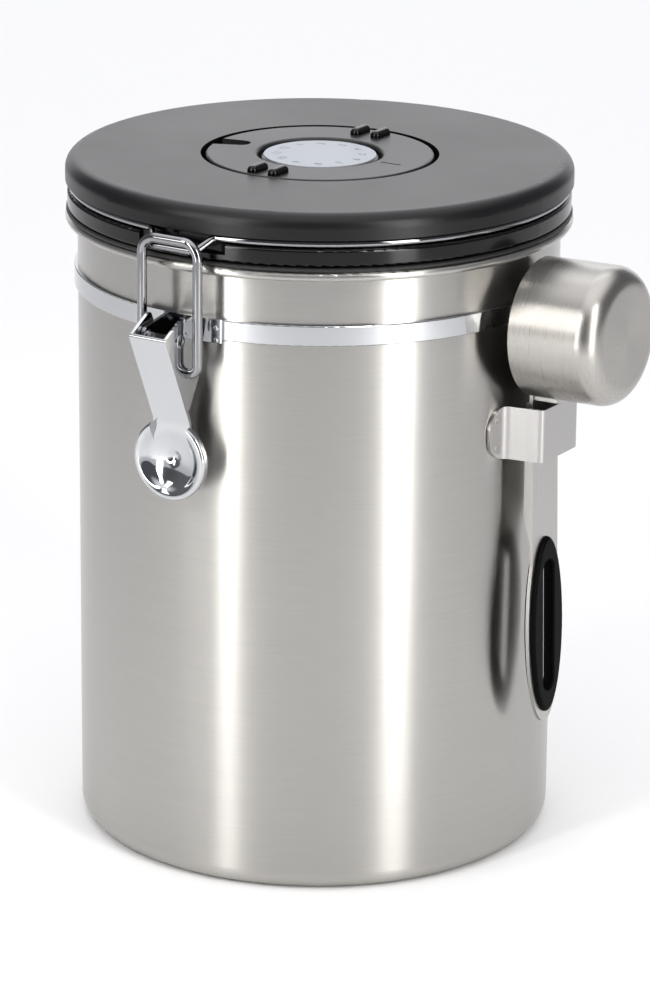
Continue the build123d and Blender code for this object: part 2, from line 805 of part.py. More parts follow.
# Dial: the carrier turns on its hub in the cap, with the pale plate let into it
dial_bottom = dial_web_top + dial_lift
dial_top = dial_bottom + dial_plate
hub_bottom = web_bottom - dial_lift
foot_bottom = hub_bottom - hub_foot_height
dial_face_radius = dial_radius - dial_rim
recess_radius = dial_face_radius + press_gap
recess_floor = dial_top - dial_recess_depth
with BuildPart() as date_dial:
    revolve(
        section(
            (0, recess_floor),
            (recess_radius, recess_floor),
            (recess_radius, dial_top),
            (dial_radius - dial_edge_chamfer, dial_top),
            (dial_radius, dial_top - dial_edge_chamfer),
            (dial_radius, dial_bottom),
            (hub_radius, dial_bottom),
            (hub_radius, hub_bottom),
            (hub_foot_radius, hub_bottom),
            (hub_radius, foot_bottom),
            (0, foot_bottom),
        ),
        axis=Axis.Z,
    )
date_dial.part.label = "date_dial"
export_step(date_dial.part, "parts/date_dial.step")

with BuildPart() as dial_face:
    with BuildSketch(Plane.XY.offset(recess_floor)):
        Circle(dial_face_radius)
    extrude(amount=dial_face_sheet)
dial_face.part.label = "dial_face"
export_step(dial_face.part, "parts/dial_face.step")

# Valve seat: a flanged cup with vents round the umbrella's stem
tube_inner = seat_tube_radius - seat_tube_wall
seat_flange_radius = seat_tube_radius + seat_flange_reach
seat_top = well_floor_top + seat_flange
seat_tube_bottom = well_floor_top - seat_tube_depth
seat_floor_bottom = well_floor_top - seat_floor_drop
seat_floor_top = seat_floor_bottom + seat_floor
stem_hole = stem_radius + running_fit
with BuildPart() as valve_seat:
    revolve(
        section(
            (tube_inner, seat_top),
            (seat_flange_radius, seat_top),
            (seat_flange_radius, well_floor_top),
            (seat_tube_radius, well_floor_top),
            (seat_tube_radius, seat_tube_bottom),
            (tube_inner - filter_lip, seat_tube_bottom),
            (tube_inner - filter_lip, seat_tube_bottom + filter_lip_height),
            (tube_inner, seat_tube_bottom + filter_lip_height),
            (tube_inner, seat_floor_bottom),
            (stem_hole, seat_floor_bottom),
            (stem_hole, seat_floor_top),
            (tube_inner, seat_floor_top),
        ),
        axis=Axis.Z,
    )
    with BuildSketch(Plane.XY.offset(seat_floor_bottom)):
        with PolarLocations(vent_circle_radius, vent_count):
            Circle(vent_radius)
    extrude(amount=seat_floor, mode=Mode.SUBTRACT)
valve_seat.part.label = "valve_seat"
export_step(valve_seat.part, "parts/valve_seat.step")

# Umbrella: the soft disc that lifts off the vents, held by its stem and bulb
umbrella_bottom = seat_floor_top + running_fit
umbrella_top = umbrella_bottom + umbrella_sheet
bulb_top = seat_floor_bottom - bulb_drop
with BuildPart() as valve_disc:
    revolve(
        section(
            (0, umbrella_top + umbrella_crown),
            (umbrella_radius / 2, umbrella_top + umbrella_crown / 2),
            (umbrella_radius, umbrella_top - umbrella_sheet / 2),
            (umbrella_radius, umbrella_bottom),
            (stem_radius, umbrella_bottom),
            (stem_radius, bulb_top),
            (bulb_radius, bulb_top),
            (stem_radius, bulb_top - bulb_height),
            (0, bulb_top - bulb_height),
        ),
        axis=Axis.Z,
    )
valve_disc.part.label = "valve_disc"
export_step(valve_disc.part, "parts/valve_disc.step")

# Retainer: a slotted plate pressed into the cup, with a post that stops the umbrella
retainer_radius = tube_inner - press_gap
retainer_top = seat_top - retainer_sink
post_bottom = umbrella_top + umbrella_crown + valve_lift + running_fit
with BuildPart() as valve_retainer:
    with BuildSketch(Plane.XY.offset(retainer_top - retainer_sheet)):
        Circle(retainer_radius)
        with PolarLocations(retainer_slot_circle_radius, vent_count):
            SlotOverall(retainer_slot_length, retainer_slot_width, mode=Mode.SUBTRACT)
    extrude(amount=retainer_sheet)
    with BuildSketch(Plane.XY.offset(post_bottom)):
        Circle(retainer_post_radius)
    extrude(amount=retainer_top - post_bottom)
valve_retainer.part.label = "valve_retainer"
export_step(valve_retainer.part, "parts/valve_retainer.step")

# Filter: a felt disc on the cup's lip
with BuildPart() as valve_filter:
    with BuildSketch(Plane.XY.offset(seat_tube_bottom + filter_lip_height + press_gap)):
        Circle(tube_inner - press_gap)
    extrude(amount=filter_sheet)
valve_filter.part.label = "valve_filter"
export_step(valve_filter.part, "parts/valve_filter.step")

# Scoop: side and front planes through the mouth's centre, leaning with the handle
lean = radians(scoop_lean)
mouth_centre = (mouth_x, 0, bowl_z)
outward = (cos(lean), 0, sin(lean))
side_plane = Plane(origin=mouth_centre, x_dir=outward, z_dir=(0, -1, 0))
front_plane = Plane(origin=mouth_centre, x_dir=(0, 1, 0), z_dir=outward)

# Bowl: a deep cup with its mouth to the can
bowl_inner = bowl_radius - bowl_wall
with BuildPart() as scoop_bowl:
    with BuildSketch(side_plane):
        with BuildLine():
            Line((0, bowl_radius), (bowl_depth - bowl_round, bowl_radius))
            RadiusArc(
                (bowl_depth - bowl_round, bowl_radius),
                (bowl_depth, bowl_radius - bowl_round),
                bowl_round,
            )
            Line((bowl_depth, bowl_radius - bowl_round), (bowl_depth, 0))
            Line((bowl_depth, 0), (bowl_depth - bowl_wall, 0))
            Line((bowl_depth - bowl_wall, 0), (bowl_depth - bowl_wall, bowl_radius - bowl_round))
            RadiusArc(
                (bowl_depth - bowl_wall, bowl_radius - bowl_round),
                (bowl_depth - bowl_round, bowl_inner),
                bowl_wall - bowl_round,
            )
            Line((bowl_depth - bowl_round, bowl_inner), (0, bowl_inner))
            Line((0, bowl_inner), (0, bowl_radius))
        make_face()
    revolve(axis=Axis(mouth_centre, outward))
scoop_bowl.part.label = "scoop_bowl"
export_step(scoop_bowl.part, "parts/scoop_bowl.step")

# Handle: a strip with turned-back edges, a saddle under the bowl and an oval blade with a window
blade_y = blade_half_length - handle_length
strip_top = -sqrt(saddle_inner**2 - strip_half_width**2)
flange_start = -saddle_outer
flange_end = flange_end_gap - handle_length
flange_turn = flange_end + flange_taper
with BuildPart() as scoop_handle:
    with BuildSketch(front_plane):
        with Locations((0, (strip_top + blade_y) / 2)):
            Rectangle(2 * strip_half_width, strip_top - blade_y)
        Circle(saddle_inner, mode=Mode.SUBTRACT)
        with Locations((0, blade_y)):
            Ellipse(blade_half_width, blade_half_length)
            Ellipse(window_half_width, window_half_length, mode=Mode.SUBTRACT)
    extrude(amount=strip_sheet)
    with BuildSketch(front_plane):
        with Locations((0, -bowl_radius)):
            Rectangle(2 * saddle_half_width, 2 * bowl_radius)
        Circle(saddle_outer, mode=Mode.INTERSECT)
        Circle(saddle_inner, mode=Mode.SUBTRACT)
    extrude(amount=saddle_reach)
    for start in (-strip_half_width, strip_half_width - strip_sheet):
        with BuildSketch(side_plane.offset(start)):
            with BuildLine():
                Polyline(
                    (strip_sheet / 2, flange_start),
                    (-flange_top, flange_start),
                    (-flange_foot, flange_turn),
                    (strip_sheet / 2, flange_end),
                    close=True,
                )
            make_face()
            fillet(vertices().sort_by(Axis.X)[0], flange_round)
        extrude(amount=strip_sheet)
scoop_handle.part.label = "scoop_handle"
export_step(scoop_handle.part, "parts/scoop_handle.step")

# Grip: oval pads on both sides of the blade, joined through the window, with a hanging slot
core_half_width = window_half_width - press_gap
core_half_length = window_half_length - press_gap
with BuildPart() as scoop_grip:
    for start in (strip_sheet + press_gap, -press_gap - grip_pad):
        with BuildSketch(front_plane.offset(start)):
            with Locations((0, blade_y)):
                Ellipse(grip_half_width, grip_half_length)
        extrude(amount=grip_pad)
    with BuildSketch(front_plane.offset(-press_gap - grip_pad)):
        with Locations((0, blade_y)):
            Ellipse(core_half_width, core_half_length)
    extrude(amount=strip_sheet + 2 * (press_gap + grip_pad))
    pad_faces = scoop_grip.faces().sort_by(Axis(mouth_centre, outward))
    fillet(pad_faces[0].edges() + pad_faces[-1].edges(), grip_round)
    with BuildSketch(front_plane.offset(-grip_pad - overrun)):
        with Locations((0, blade_y)):
            SlotOverall(grip_slot_length, grip_slot_width, rotation=90)
    extrude(amount=strip_sheet + 2 * (grip_pad + overrun), mode=Mode.SUBTRACT)
    pad_faces = scoop_grip.faces().filter_by(GeomType.PLANE).sort_by(Axis(mouth_centre, outward))
    fillet((pad_faces[0].inner_wires() + pad_faces[-1].inner_wires()).edges(), grip_slot_round)
scoop_grip.part.label = "scoop_grip"
export_step(scoop_grip.part, "parts/scoop_grip.step")

# Scoop bracket: sheet folded out from the can's skin, round the handle and back
foot_reach = can_radius + holder_skin_gap + holder_sheet / 2
foot_x = sqrt(foot_reach**2 - holder_half_width**2)
foot_bend_x = sqrt(foot_reach**2 - holder_foot_half_width**2)
front_x = holder_front - holder_sheet / 2
front_bend_y = holder_front_half_width - holder_sheet / 2
with BuildPart() as scoop_bracket:
    with BuildSketch(Plane.XY.offset(holder_bottom)):
        with BuildLine():
            FilletPolyline(
                (foot_x, -holder_half_width),
                (foot_bend_x, -holder_foot_half_width),
                (front_x, -front_bend_y),
                (front_x, front_bend_y),
                (foot_bend_x, holder_foot_half_width),
                (foot_x, holder_half_width),
                radius=[holder_foot_bend, holder_front_bend, holder_front_bend, holder_foot_bend],
            )
        trace(line_width=holder_sheet)
    extrude(amount=holder_height)
    with BuildSketch(Plane.YZ):
        with Locations((0, holder_bottom + holder_height / 2)):
            RectangleRounded(2 * holder_half_width, holder_height, holder_corner_round)
    extrude(amount=holder_front + overrun, mode=Mode.INTERSECT)
scoop_bracket.part.label = "scoop_bracket"
export_step(scoop_bracket.part, "parts/scoop_bracket.step")
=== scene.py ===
from math import cos, radians, sin

import bmesh
import bpy
from mathutils import Matrix, Vector


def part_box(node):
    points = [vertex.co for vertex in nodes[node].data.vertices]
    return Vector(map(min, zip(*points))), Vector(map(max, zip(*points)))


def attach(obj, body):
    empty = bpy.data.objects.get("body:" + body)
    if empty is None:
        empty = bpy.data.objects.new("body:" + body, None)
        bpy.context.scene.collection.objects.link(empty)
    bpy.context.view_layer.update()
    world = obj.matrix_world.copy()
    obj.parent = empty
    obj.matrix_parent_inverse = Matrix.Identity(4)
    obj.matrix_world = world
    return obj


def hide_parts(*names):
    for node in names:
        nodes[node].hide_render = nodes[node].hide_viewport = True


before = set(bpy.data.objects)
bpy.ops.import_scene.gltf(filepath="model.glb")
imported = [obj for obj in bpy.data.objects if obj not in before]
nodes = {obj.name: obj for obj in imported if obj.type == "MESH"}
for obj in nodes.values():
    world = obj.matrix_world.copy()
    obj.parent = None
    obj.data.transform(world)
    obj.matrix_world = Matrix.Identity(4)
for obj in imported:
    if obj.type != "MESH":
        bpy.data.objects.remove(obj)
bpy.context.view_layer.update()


# nodes that the light and the finishes are wired from

def noiseNode(tree, scale, detail, rough, vector):
    n = tree.nodes.new("ShaderNodeTexNoise")
    n.inputs["Scale"].default_value = scale
    n.inputs["Detail"].default_value = detail
    n.inputs["Roughness"].default_value = rough
    tree.links.new(vector, n.inputs["Vector"])
    return n.outputs["Fac"]


def rangeNode(tree, value, low, high, toLow, toHigh, how="LINEAR"):
    n = tree.nodes.new("ShaderNodeMapRange")
    n.interpolation_type = how
    tree.links.new(value, n.inputs["Value"])
    for key, v in (("From Min", low), ("From Max", high), ("To Min", toLow), ("To Max", toHigh)):
        if isinstance(v, (int, float)):
            n.inputs[key].default_value = v
        else:
            tree.links.new(v, n.inputs[key])
    return n.outputs["Result"]


def mathNode(tree, what, a, b):
    n = tree.nodes.new("ShaderNodeMath")
    n.operation = what
    for i, v in enumerate((a, b)):
        if isinstance(v, (int, float)):
            n.inputs[i].default_value = v
        else:
            tree.links.new(v, n.inputs[i])
    return n.outputs[0]


def mixColour(tree, how, fac, a, b):
    n = tree.nodes.new("ShaderNodeMix")
    n.data_type = "RGBA"
    n.blend_type = how
    for sock, v in ((n.inputs[0], fac), (n.inputs[6], a), (n.inputs[7], b)):
        if isinstance(v, (int, float, tuple)):
            sock.default_value = v
        else:
            tree.links.new(v, sock)
    return n.outputs[2]


# camera, floor and light

camera = {
    "place": (0.5556, -0.8892, 0.4262),
    "turn": 32.0,        # degrees from the latch's side towards the scoop
    "aside": 0.115,      # degrees more to the right
    "down": 18.176,      # degrees, as is the roll
    "roll": 0.56,
    "lens": 156.56,
    "sensor": 36,        # millimetres, as is the lens
    "nearest": 0.01,
}


def makeCamera(c):
    heading = radians(c["turn"] - c["aside"])
    down = radians(c["down"])
    roll = radians(c["roll"])
    ahead = Vector((-sin(heading) * cos(down), cos(heading) * cos(down), -sin(down)))
    right0 = ahead.cross(Vector((0, 0, 1))).normalized()
    up0 = right0.cross(ahead)
    right = right0 * cos(roll) + up0 * sin(roll)
    up = up0 * cos(roll) - right0 * sin(roll)
    data = bpy.data.cameras.new("photoCamera")
    data.lens = c["lens"]
    data.sensor_width = c["sensor"]
    data.clip_start = c["nearest"]
    obj = bpy.data.objects.new("photoCamera", data)
    bpy.context.scene.collection.objects.link(obj)
    turn = Matrix((right, up, -ahead)).transposed()
    obj.matrix_world = Matrix.Translation(c["place"]) @ turn.to_4x4()
    bpy.context.scene.camera = obj


studio = {
    "worldStrength": 1.25,
    "ceiling": (1.36, 1.36, 1.40, 1),
    "ceilingFrom": 0.55,
    "ceilingFull": 0.95,
    "room": [       # brightness from straight behind the can (0) round to behind the camera (1)
        (0.04, (1.0, 1.0, 1.02, 1)), (0.11, (0.17, 0.17, 0.18, 1)), (0.55, (0.15, 0.15, 0.16, 1)),
        (0.80, (0.10, 0.10, 0.11, 1))],
    "floorColor": (0.88, 0.88, 0.88, 1),
    "floorRough": 0.9,
    "floorShine": 0.1,
    "floorHalf": 3,
    "aimHeight": 0.09,
    "lights": [
        # name, degrees from the camera's heading, height, distance, width, tall, watts, colour
        ("leftStrip", -39.5, 0.28, 0.55, 0.085, 0.56, 1.4, (1.0, 0.985, 0.96)),
        ("highStrip", -58.5, 0.40, 0.49, 0.10, 0.34, 0.5, (1.0, 0.985, 0.96)),
        ("rightSoftbox", 36.5, 0.28, 0.55, 0.125, 0.56, 2.0, (1.0, 0.99, 0.97)),
        ("overhead", 180, 1.20, 1.15, 1.4, 1.4, 4.5, (0.97, 0.98, 1.0)),
    ],
}


def makeWorld(s):
    world = bpy.data.worlds.new("studioWorld")
    bpy.context.scene.world = world
    world.use_nodes = True
    tree = world.node_tree
    back = tree.nodes["Background"]
    back.inputs["Strength"].default_value = s["worldStrength"]
    heading = radians(camera["turn"])
    coord = tree.nodes.new("ShaderNodeTexCoord").outputs["Generated"]
    towards = tree.nodes.new("ShaderNodeVectorMath")     # -1 behind the can, 1 behind the camera
    towards.operation = "DOT_PRODUCT"
    towards.inputs[1].default_value = (sin(heading), -cos(heading), 0)
    tree.links.new(coord, towards.inputs[0])
    ramp = tree.nodes.new("ShaderNodeValToRGB")
    ramp.color_ramp.interpolation = "EASE"
    stops = ramp.color_ramp.elements
    while len(stops) < len(s["room"]):
        stops.new(0.5)
    for stop, (where, colour) in zip(stops, s["room"]):
        stop.position = where
        stop.color = colour
    tree.links.new(rangeNode(tree, towards.outputs["Value"], -1, 1, 0, 1), ramp.inputs["Fac"])
    apart = tree.nodes.new("ShaderNodeSeparateXYZ")
    tree.links.new(coord, apart.inputs[0])
    upwards = rangeNode(
        tree, apart.outputs["Z"], s["ceilingFrom"], s["ceilingFull"], 0, 1, "SMOOTHSTEP")
    light = mixColour(tree, "MIX", upwards, ramp.outputs["Color"], s["ceiling"])
    tree.links.new(light, back.inputs["Color"])


def makeLights(s):
    heading = radians(camera["turn"])
    for name, aside, height, away, width, tall, watts, colour in s["lights"]:
        a = heading + radians(aside)
        place = Vector((sin(a) * away, -cos(a) * away, height))
        data = bpy.data.lights.new(name, "AREA")
        data.shape = "RECTANGLE"
        data.size = width
        data.size_y = tall
        data.energy = watts
        data.color = colour
        obj = bpy.data.objects.new(name, data)
        obj.visible_camera = False
        bpy.context.scene.collection.objects.link(obj)
        aim = Vector((0, 0, s["aimHeight"])) - place
        turn = aim.to_track_quat("-Z", "Y").to_matrix().to_4x4()
        obj.matrix_world = Matrix.Translation(place) @ turn


def makeFloor(s):
    bm = bmesh.new()
    bmesh.ops.create_grid(bm, x_segments=1, y_segments=1, size=s["floorHalf"])
    mesh = bpy.data.meshes.new("studioFloor")
    bm.to_mesh(mesh)
    bm.free()
    floor = bpy.data.objects.new("studioFloor", mesh)
    bpy.context.scene.collection.objects.link(floor)
    paper = bpy.data.materials.new("paperFloor")
    paper.use_nodes = True
    shader = paper.node_tree.nodes["Principled BSDF"]
    shader.inputs["Base Color"].default_value = s["floorColor"]
    shader.inputs["Roughness"].default_value = s["floorRough"]
    shader.inputs["Specular IOR Level"].default_value = s["floorShine"]
    mesh.materials.append(paper)


makeCamera(camera)
makeWorld(studio)
makeLights(studio)
makeFloor(studio)
bpy.context.scene.view_settings.view_transform = "Standard"
print("stage: camera, floor and light")


# effects that several finishes share

def startGroup(name, inputs, outputs):
    group = bpy.data.node_groups.new(name, "ShaderNodeTree")
    for way, sockets in (("INPUT", inputs), ("OUTPUT", outputs)):
        for label, kind in sockets.items():
            group.interface.new_socket(name=label, in_out=way, socket_type="NodeSocket" + kind)
    start = group.nodes.new("NodeGroupInput")
    end = group.nodes.new("NodeGroupOutput")
    return group, start.outputs, end.inputs


groupOutputs = {"Colour": "Color", "Roughness": "Float", "Height": "Float"}
brushing = {
    "detail": 3,
    "rough": 0.65,
    "cloudScale": 35,
    "cloudDetail": 2,
    "cloudRough": 0.5,
    "cloudShare": 0.25,
    "low": 0.3,
    "high": 0.7,
}
pitting = {
    "detail": 2,
    "cloudScale": 22,
    "cloudDetail": 3,
    "cloudRough": 0.55,
    "low": 0.3,
    "high": 0.7,
}


def shadeColour(tree, colour, tone, out):
    grey = tree.nodes.new("ShaderNodeCombineColor")
    for i in range(3):
        tree.links.new(tone, grey.inputs[i])
    tree.links.new(mixColour(tree, "MULTIPLY", 1.0, colour, grey.outputs[0]), out)


def brushedGrainGroup(p):
    tree, inp, out = startGroup(
        "brushedGrain",
        {"Along": "Vector", "Colour": "Color", "Depth": "Float",
         "Smooth": "Float", "Rough": "Float"},
        groupOutputs)
    coord = tree.nodes.new("ShaderNodeTexCoord").outputs["Object"]
    scaled = tree.nodes.new("ShaderNodeVectorMath")
    scaled.operation = "MULTIPLY"
    tree.links.new(coord, scaled.inputs[0])
    tree.links.new(inp["Along"], scaled.inputs[1])
    fine = noiseNode(tree, 1.0, p["detail"], p["rough"], scaled.outputs[0])
    cloud = noiseNode(tree, p["cloudScale"], p["cloudDetail"], p["cloudRough"], coord)
    both = mathNode(
        tree, "ADD",
        mathNode(tree, "MULTIPLY", fine, 1 - p["cloudShare"]),
        mathNode(tree, "MULTIPLY", cloud, p["cloudShare"]))
    darkest = mathNode(tree, "SUBTRACT", 1.0, inp["Depth"])
    tone = rangeNode(tree, both, p["low"], p["high"], darkest, 1.0)
    shadeColour(tree, inp["Colour"], tone, out["Colour"])
    rough = rangeNode(tree, both, p["low"], p["high"], inp["Smooth"], inp["Rough"])
    tree.links.new(rough, out["Roughness"])
    tree.links.new(fine, out["Height"])
    return tree


def finePittingGroup(p):
    tree, inp, out = startGroup(
        "finePitting",
        {"Grain": "Float", "Colour": "Color", "Spread": "Float",
         "Smooth": "Float", "Rough": "Float"},
        groupOutputs)
    coord = tree.nodes.new("ShaderNodeTexCoord").outputs["Object"]
    fine = tree.nodes.new("ShaderNodeTexNoise")
    fine.inputs["Detail"].default_value = p["detail"]
    tree.links.new(coord, fine.inputs["Vector"])
    tree.links.new(inp["Grain"], fine.inputs["Scale"])
    cloud = noiseNode(tree, p["cloudScale"], p["cloudDetail"], p["cloudRough"], coord)
    darkest = mathNode(tree, "SUBTRACT", 1.0, inp["Spread"])
    lightest = mathNode(tree, "ADD", 1.0, inp["Spread"])
    tone = rangeNode(tree, cloud, p["low"], p["high"], darkest, lightest)
    shadeColour(tree, inp["Colour"], tone, out["Colour"])
    rough = rangeNode(tree, cloud, p["low"], p["high"], inp["Smooth"], inp["Rough"])
    tree.links.new(rough, out["Roughness"])
    tree.links.new(fine.outputs["Fac"], out["Height"])
    return tree


grainGroup = brushedGrainGroup(brushing)
pitGroup = finePittingGroup(pitting)


def turnedTangent(tree, centre):
    coord = tree.nodes.new("ShaderNodeTexCoord")
    fromAxis = tree.nodes.new("ShaderNodeVectorMath")
    fromAxis.operation = "SUBTRACT"
    fromAxis.inputs[1].default_value = centre
    across = tree.nodes.new("ShaderNodeVectorMath")
    across.operation = "CROSS_PRODUCT"
    across.inputs[1].default_value = (1, 0, 0)
    tree.links.new(coord.outputs["Object"], fromAxis.inputs[0])
    tree.links.new(fromAxis.outputs[0], across.inputs[0])
    return across.outputs[0]


def finish(name, group, values, constants, bump=0.0, bumpReach=0.00002, around=None):
    mat = bpy.data.materials.new(name)
    mat.use_nodes = True
    tree = mat.node_tree
    shader = tree.nodes["Principled BSDF"]
    for key, v in constants.items():
        shader.inputs[key].default_value = v
    g = tree.nodes.new("ShaderNodeGroup")
    g.node_tree = group
    for key, v in values.items():
        g.inputs[key].default_value = v
    tree.links.new(g.outputs["Colour"], shader.inputs["Base Color"])
    tree.links.new(g.outputs["Roughness"], shader.inputs["Roughness"])
    if around == "can":      # the brushing runs round the can
        tangent = tree.nodes.new("ShaderNodeTangent")
        tangent.direction_type = "RADIAL"
        tangent.axis = "Z"
        tree.links.new(tangent.outputs["Tangent"], shader.inputs["Tangent"])
    elif around:             # or round the axis of the scoop's bowl
        tree.links.new(turnedTangent(tree, around), shader.inputs["Tangent"])
    if bump:
        b = tree.nodes.new("ShaderNodeBump")
        b.inputs["Strength"].default_value = bump
        b.inputs["Distance"].default_value = bumpReach
        tree.links.new(g.outputs["Height"], b.inputs["Height"])
        tree.links.new(b.outputs["Normal"], shader.inputs["Normal"])
    return mat


bowlLow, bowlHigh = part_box("scoop_bowl")
bowlCentre = (Vector(bowlLow) + Vector(bowlHigh)) / 2

finishes = {
    "steelCan": dict(
        group=grainGroup, bump=0.12, bumpReach=0.00001, around="can",
        values={
            "Along": (60, 60, 5200), "Colour": (0.483, 0.471, 0.448, 1),
            "Depth": 0.10, "Smooth": 0.29, "Rough": 0.33},
        constants={"Metallic": 1.0, "Anisotropic": 0.94, "Anisotropic Rotation": 0.25}),
    "steelBowl": dict(
        group=grainGroup, bump=0.04, bumpReach=0.00001, around=tuple(bowlCentre),
        values={
            "Along": (4200, 80, 80), "Colour": (0.415, 0.40, 0.376, 1),
            "Depth": 0.06, "Smooth": 0.265, "Rough": 0.295},
        constants={"Metallic": 1.0, "Anisotropic": 0.6, "Anisotropic Rotation": 0.25}),
    "steelHandle": dict(
        group=grainGroup, bump=0.10, bumpReach=0.00001,
        values={
            "Along": (2600, 2600, 60), "Colour": (0.50, 0.49, 0.47, 1),
            "Depth": 0.12, "Smooth": 0.28, "Rough": 0.36},
        constants={"Metallic": 1.0}),
    "steelHolder": dict(
        group=grainGroup, bump=0.06, bumpReach=0.00001,
        values={
            "Along": (2600, 2600, 60), "Colour": (0.44, 0.43, 0.42, 1),
            "Depth": 0.08, "Smooth": 0.15, "Rough": 0.21},
        constants={"Metallic": 1.0}),
    "chromeTrim": dict(
        group=pitGroup,
        values={
            "Grain": 900.0, "Colour": (0.50, 0.51, 0.525, 1),
            "Spread": 0.02, "Smooth": 0.05, "Rough": 0.09},
        constants={"Metallic": 1.0}),
    "chromeWire": dict(
        group=pitGroup,
        values={
            "Grain": 900.0, "Colour": (0.27, 0.27, 0.28, 1),
            "Spread": 0.03, "Smooth": 0.04, "Rough": 0.07},
        constants={"Metallic": 1.0}),
    "matteBlack": dict(
        group=pitGroup, bump=0.18, bumpReach=0.00003,
        values={
            "Grain": 3200.0, "Colour": (0.005, 0.0048, 0.0055, 1),
            "Spread": 0.10, "Smooth": 0.30, "Rough": 0.36},
        constants={"IOR": 1.37}),
    "capBlack": dict(
        group=pitGroup, bump=0.15, bumpReach=0.00003,
        values={
            "Grain": 3600.0, "Colour": (0.012, 0.012, 0.013, 1),
            "Spread": 0.10, "Smooth": 0.30, "Rough": 0.36},
        constants={"IOR": 1.42}),
    "glossBlack": dict(
        group=pitGroup,
        values={
            "Grain": 900.0, "Colour": (0.002, 0.002, 0.0022, 1),
            "Spread": 0.10, "Smooth": 0.08, "Rough": 0.17},
        constants={"IOR": 1.4}),
    "ribBlack": dict(
        group=pitGroup,
        values={
            "Grain": 2400.0, "Colour": (0.002, 0.002, 0.0022, 1),
            "Spread": 0.10, "Smooth": 0.10, "Rough": 0.14},
        constants={"IOR": 1.36}),
    "sealBlack": dict(
        group=pitGroup, bump=0.1,
        values={
            "Grain": 1500.0, "Colour": (0.008, 0.008, 0.008, 1),
            "Spread": 0.15, "Smooth": 0.45, "Rough": 0.6},
        constants={}),
    "gripBlack": dict(
        group=pitGroup, bump=0.15, bumpReach=0.00003,
        values={
            "Grain": 2600.0, "Colour": (0.002, 0.002, 0.0023, 1),
            "Spread": 0.12, "Smooth": 0.36, "Rough": 0.46},
        constants={"Specular IOR Level": 0.035}),
    "dialSilver": dict(
        group=pitGroup,
        values={
            "Grain": 1500.0, "Colour": (0.20, 0.195, 0.20, 1),
            "Spread": 0.03, "Smooth": 0.22, "Rough": 0.30},
        constants={"Metallic": 0.6}),
    "dialInk": dict(
        group=pitGroup,
        values={
            "Grain": 1500.0, "Colour": (0.09, 0.11, 0.15, 1),
            "Spread": 0.05, "Smooth": 0.40, "Rough": 0.50},
        constants={}),
    "dialPale": dict(
        group=pitGroup,
        values={
            "Grain": 1500.0, "Colour": (0.33, 0.355, 0.395, 1),
            "Spread": 0.02, "Smooth": 0.30, "Rough": 0.38},
        constants={}),
    "valvePlastic": dict(
        group=pitGroup,
        values={
            "Grain": 1500.0, "Colour": (0.72, 0.72, 0.70, 1),
            "Spread": 0.03, "Smooth": 0.35, "Rough": 0.45},
        constants={}),
    "valveSilicone": dict(
        group=pitGroup,
        values={
            "Grain": 1500.0, "Colour": (0.66, 0.64, 0.60, 1),
            "Spread": 0.04, "Smooth": 0.45, "Rough": 0.6},
        constants={}),
    "valveFelt": dict(
        group=pitGroup, bump=0.6, bumpReach=0.0001,
        values={
            "Grain": 1800.0, "Colour": (0.74, 0.71, 0.65, 1),
            "Spread": 0.12, "Smooth": 0.85, "Rough": 0.95},
        constants={}),
}
materials = {name: finish(name, **f) for name, f in finishes.items()}
print("stage: finishes")

nodeFinishes = {
    "steelCan": ["canister_body"],
    "chromeTrim": [
        "neck_strap", "latch_bracket", "hinge_bracket", "hinge_pin", "latch_rivets", "latch_lever"],
    "chromeWire": ["latch_link", "bail_ring"],
    "matteBlack": ["lid_cover"],
    "capBlack": ["valve_cap"],
    "ribBlack": ["grip_ribs"],
    "glossBlack": ["lid_base"],
    "dialSilver": ["date_dial"],
    "sealBlack": ["lid_gasket"],
    "dialPale": ["dial_face"],
    "valvePlastic": ["valve_seat", "valve_retainer"],
    "valveSilicone": ["valve_disc"],
    "valveFelt": ["valve_filter"],
    "steelBowl": ["scoop_bowl"],
    "steelHandle": ["scoop_handle"],
    "steelHolder": ["scoop_bracket"],
    "gripBlack": ["scoop_grip"],
}
for finishName, names in nodeFinishes.items():
    for nodeName in names:
        mesh = nodes[nodeName].data
        mesh.materials.clear()
        mesh.materials.append(materials[finishName])
print("stage: frame painted")


# pieces that only the render shows

def makePiece(name, bm, finishName, body):
    bmesh.ops.recalc_face_normals(bm, faces=bm.faces)
    mesh = bpy.data.meshes.new(name)
    bm.to_mesh(mesh)
    bm.free()
    for face in mesh.polygons:
        face.use_smooth = True
    mesh.materials.append(materials[finishName])
    obj = bpy.data.objects.new(name, mesh)
    bpy.context.scene.collection.objects.link(obj)
    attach(obj, body)
    return obj


padPress = {        # the thumb pad's bottom is pressed to a shallow bowl
    "steepest": 0.0059,     # distances from the pad's axis
    "end": 0.0080,
    "slope": 0.34,
    "finest": 0.0007,
    "rounds": 6,
    "merge": 0.000001,
    "sharp": 35,
}


def pressDepth(away, p):
    fade = p["end"] - p["steepest"]
    inner = min(away, p["steepest"])
    outer = min(max(away - p["steepest"], 0), fade)
    full = p["slope"] * (p["steepest"] + fade) / 2
    return full - p["slope"] * (inner ** 2 / (2 * p["steepest"]) + outer - outer ** 2 / (2 * fade))


